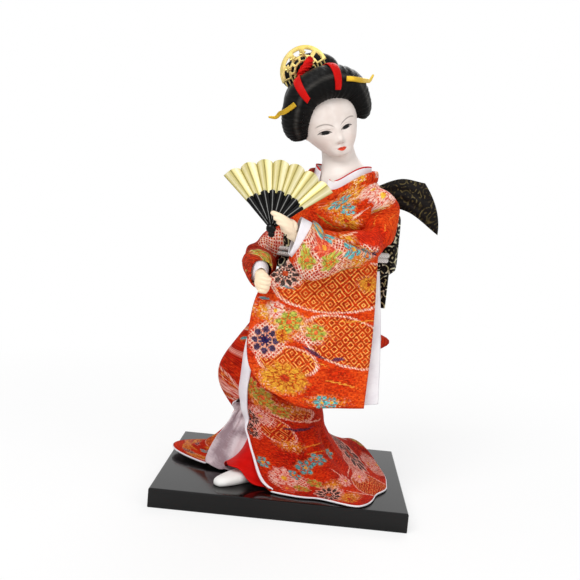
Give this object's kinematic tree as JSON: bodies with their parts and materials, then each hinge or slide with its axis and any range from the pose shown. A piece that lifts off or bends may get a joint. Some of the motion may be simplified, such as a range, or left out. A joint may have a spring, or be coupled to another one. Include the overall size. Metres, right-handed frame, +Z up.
{
  "type": "geisha doll",
  "caption": "Dressed geisha doll in a long-sleeved brocade kimono with a bow sash, holding a folding fan and standing on a flat lacquered board.",
  "frame": {"origin": "centre of the board's underside, where the doll stands", "axes": "+Z up, -Y towards the doll's front, +X towards the doll's left hand"},
  "size_m": [0.1688, 0.1261, 0.2929],
  "materials": {
    "lacquer": "gloss black lacquer",
    "post_wood": "plain",
    "steel": "drawn wire",
    "stuffing": "packed straw and paper",
    "brocade": "woven brocade with gold thread",
    "white_silk": "plain satin",
    "red_silk": "plain satin",
    "black_brocade": "woven brocade with gold thread",
    "white_cord": "braided cord",
    "skin": "pale paint over cast resin",
    "hair": "combed black fibre",
    "gold": "gilt",
    "gold_card": "gold foil on pressed card",
    "black_sticks": "gloss black"
  },
  "bodies": {
    "doll": {"base_board": "lacquer", "support_post": "post_wood", "post_screw": "steel", "right_foot": "white_silk", "left_foot": "white_silk", "right_leg_wire": "steel", "left_leg_wire": "steel", "torso_core": "stuffing", "left_arm_wire": "steel", "right_arm_wire": "steel", "kimono_bodice": "brocade", "kimono_collar": "brocade", "under_collar": "white_silk", "collar_piping": "red_silk", "obi_band": "black_brocade", "obi_cord_lower": "white_cord", "obi_cord_upper": "white_cord", "obi_drum": "black_brocade", "obi_tail": "black_brocade", "obi_wing_left": "black_brocade", "obi_wing_right": "black_brocade", "obi_knot": "black_brocade", "kimono_skirt": "brocade", "skirt_lining": "white_silk", "skirt_edge": "white_silk", "under_skirt": "red_silk", "left_sleeve": "brocade", "left_sleeve_lining": "white_silk", "right_sleeve": "brocade", "left_cuff": "white_silk", "right_cuff": "white_silk"},
    "head": {"head": "skin", "wig": "hair", "top_knot": "hair", "comb": "gold", "hair_tie": "red_silk", "left_ribbon": "red_silk", "right_ribbon": "red_silk", "right_hairpin": "gold", "left_hairpin": "gold"},
    "left_hand": {"left_hand": "skin"},
    "right_hand": {"right_hand": "skin"},
    "fan": {"fan_leaf": "gold_card", "fan_ribs": "black_sticks", "fan_rivet": "black_sticks"}
  },
  "joints": [
    {"name": "head_turn", "type": "hinge", "parent": "doll", "child": "head", "pos_m": [0.0235, -0.0015, 0.2085], "axis": [-0.2661, -0.1616, 0.9503], "range_deg": [-15, 15]},
    {"name": "left_wrist_turn", "type": "hinge", "parent": "doll", "child": "left_hand", "pos_m": [0, -0.0505, 0.172], "axis": [-0.8474, -0.2542, 0.4661], "range_deg": [-15, 15]},
    {"name": "right_wrist_turn", "type": "hinge", "parent": "doll", "child": "right_hand", "pos_m": [-0.0245, -0.0385, 0.1491], "axis": [0.2623, -0.9181, -0.2973], "range_deg": [-15, 15]},
    {"name": "fan_slide", "type": "slide", "parent": "left_hand", "child": "fan", "axis": [-0.5736, 0, 0.8191], "range_m": [0, 0.025]}
  ]
}
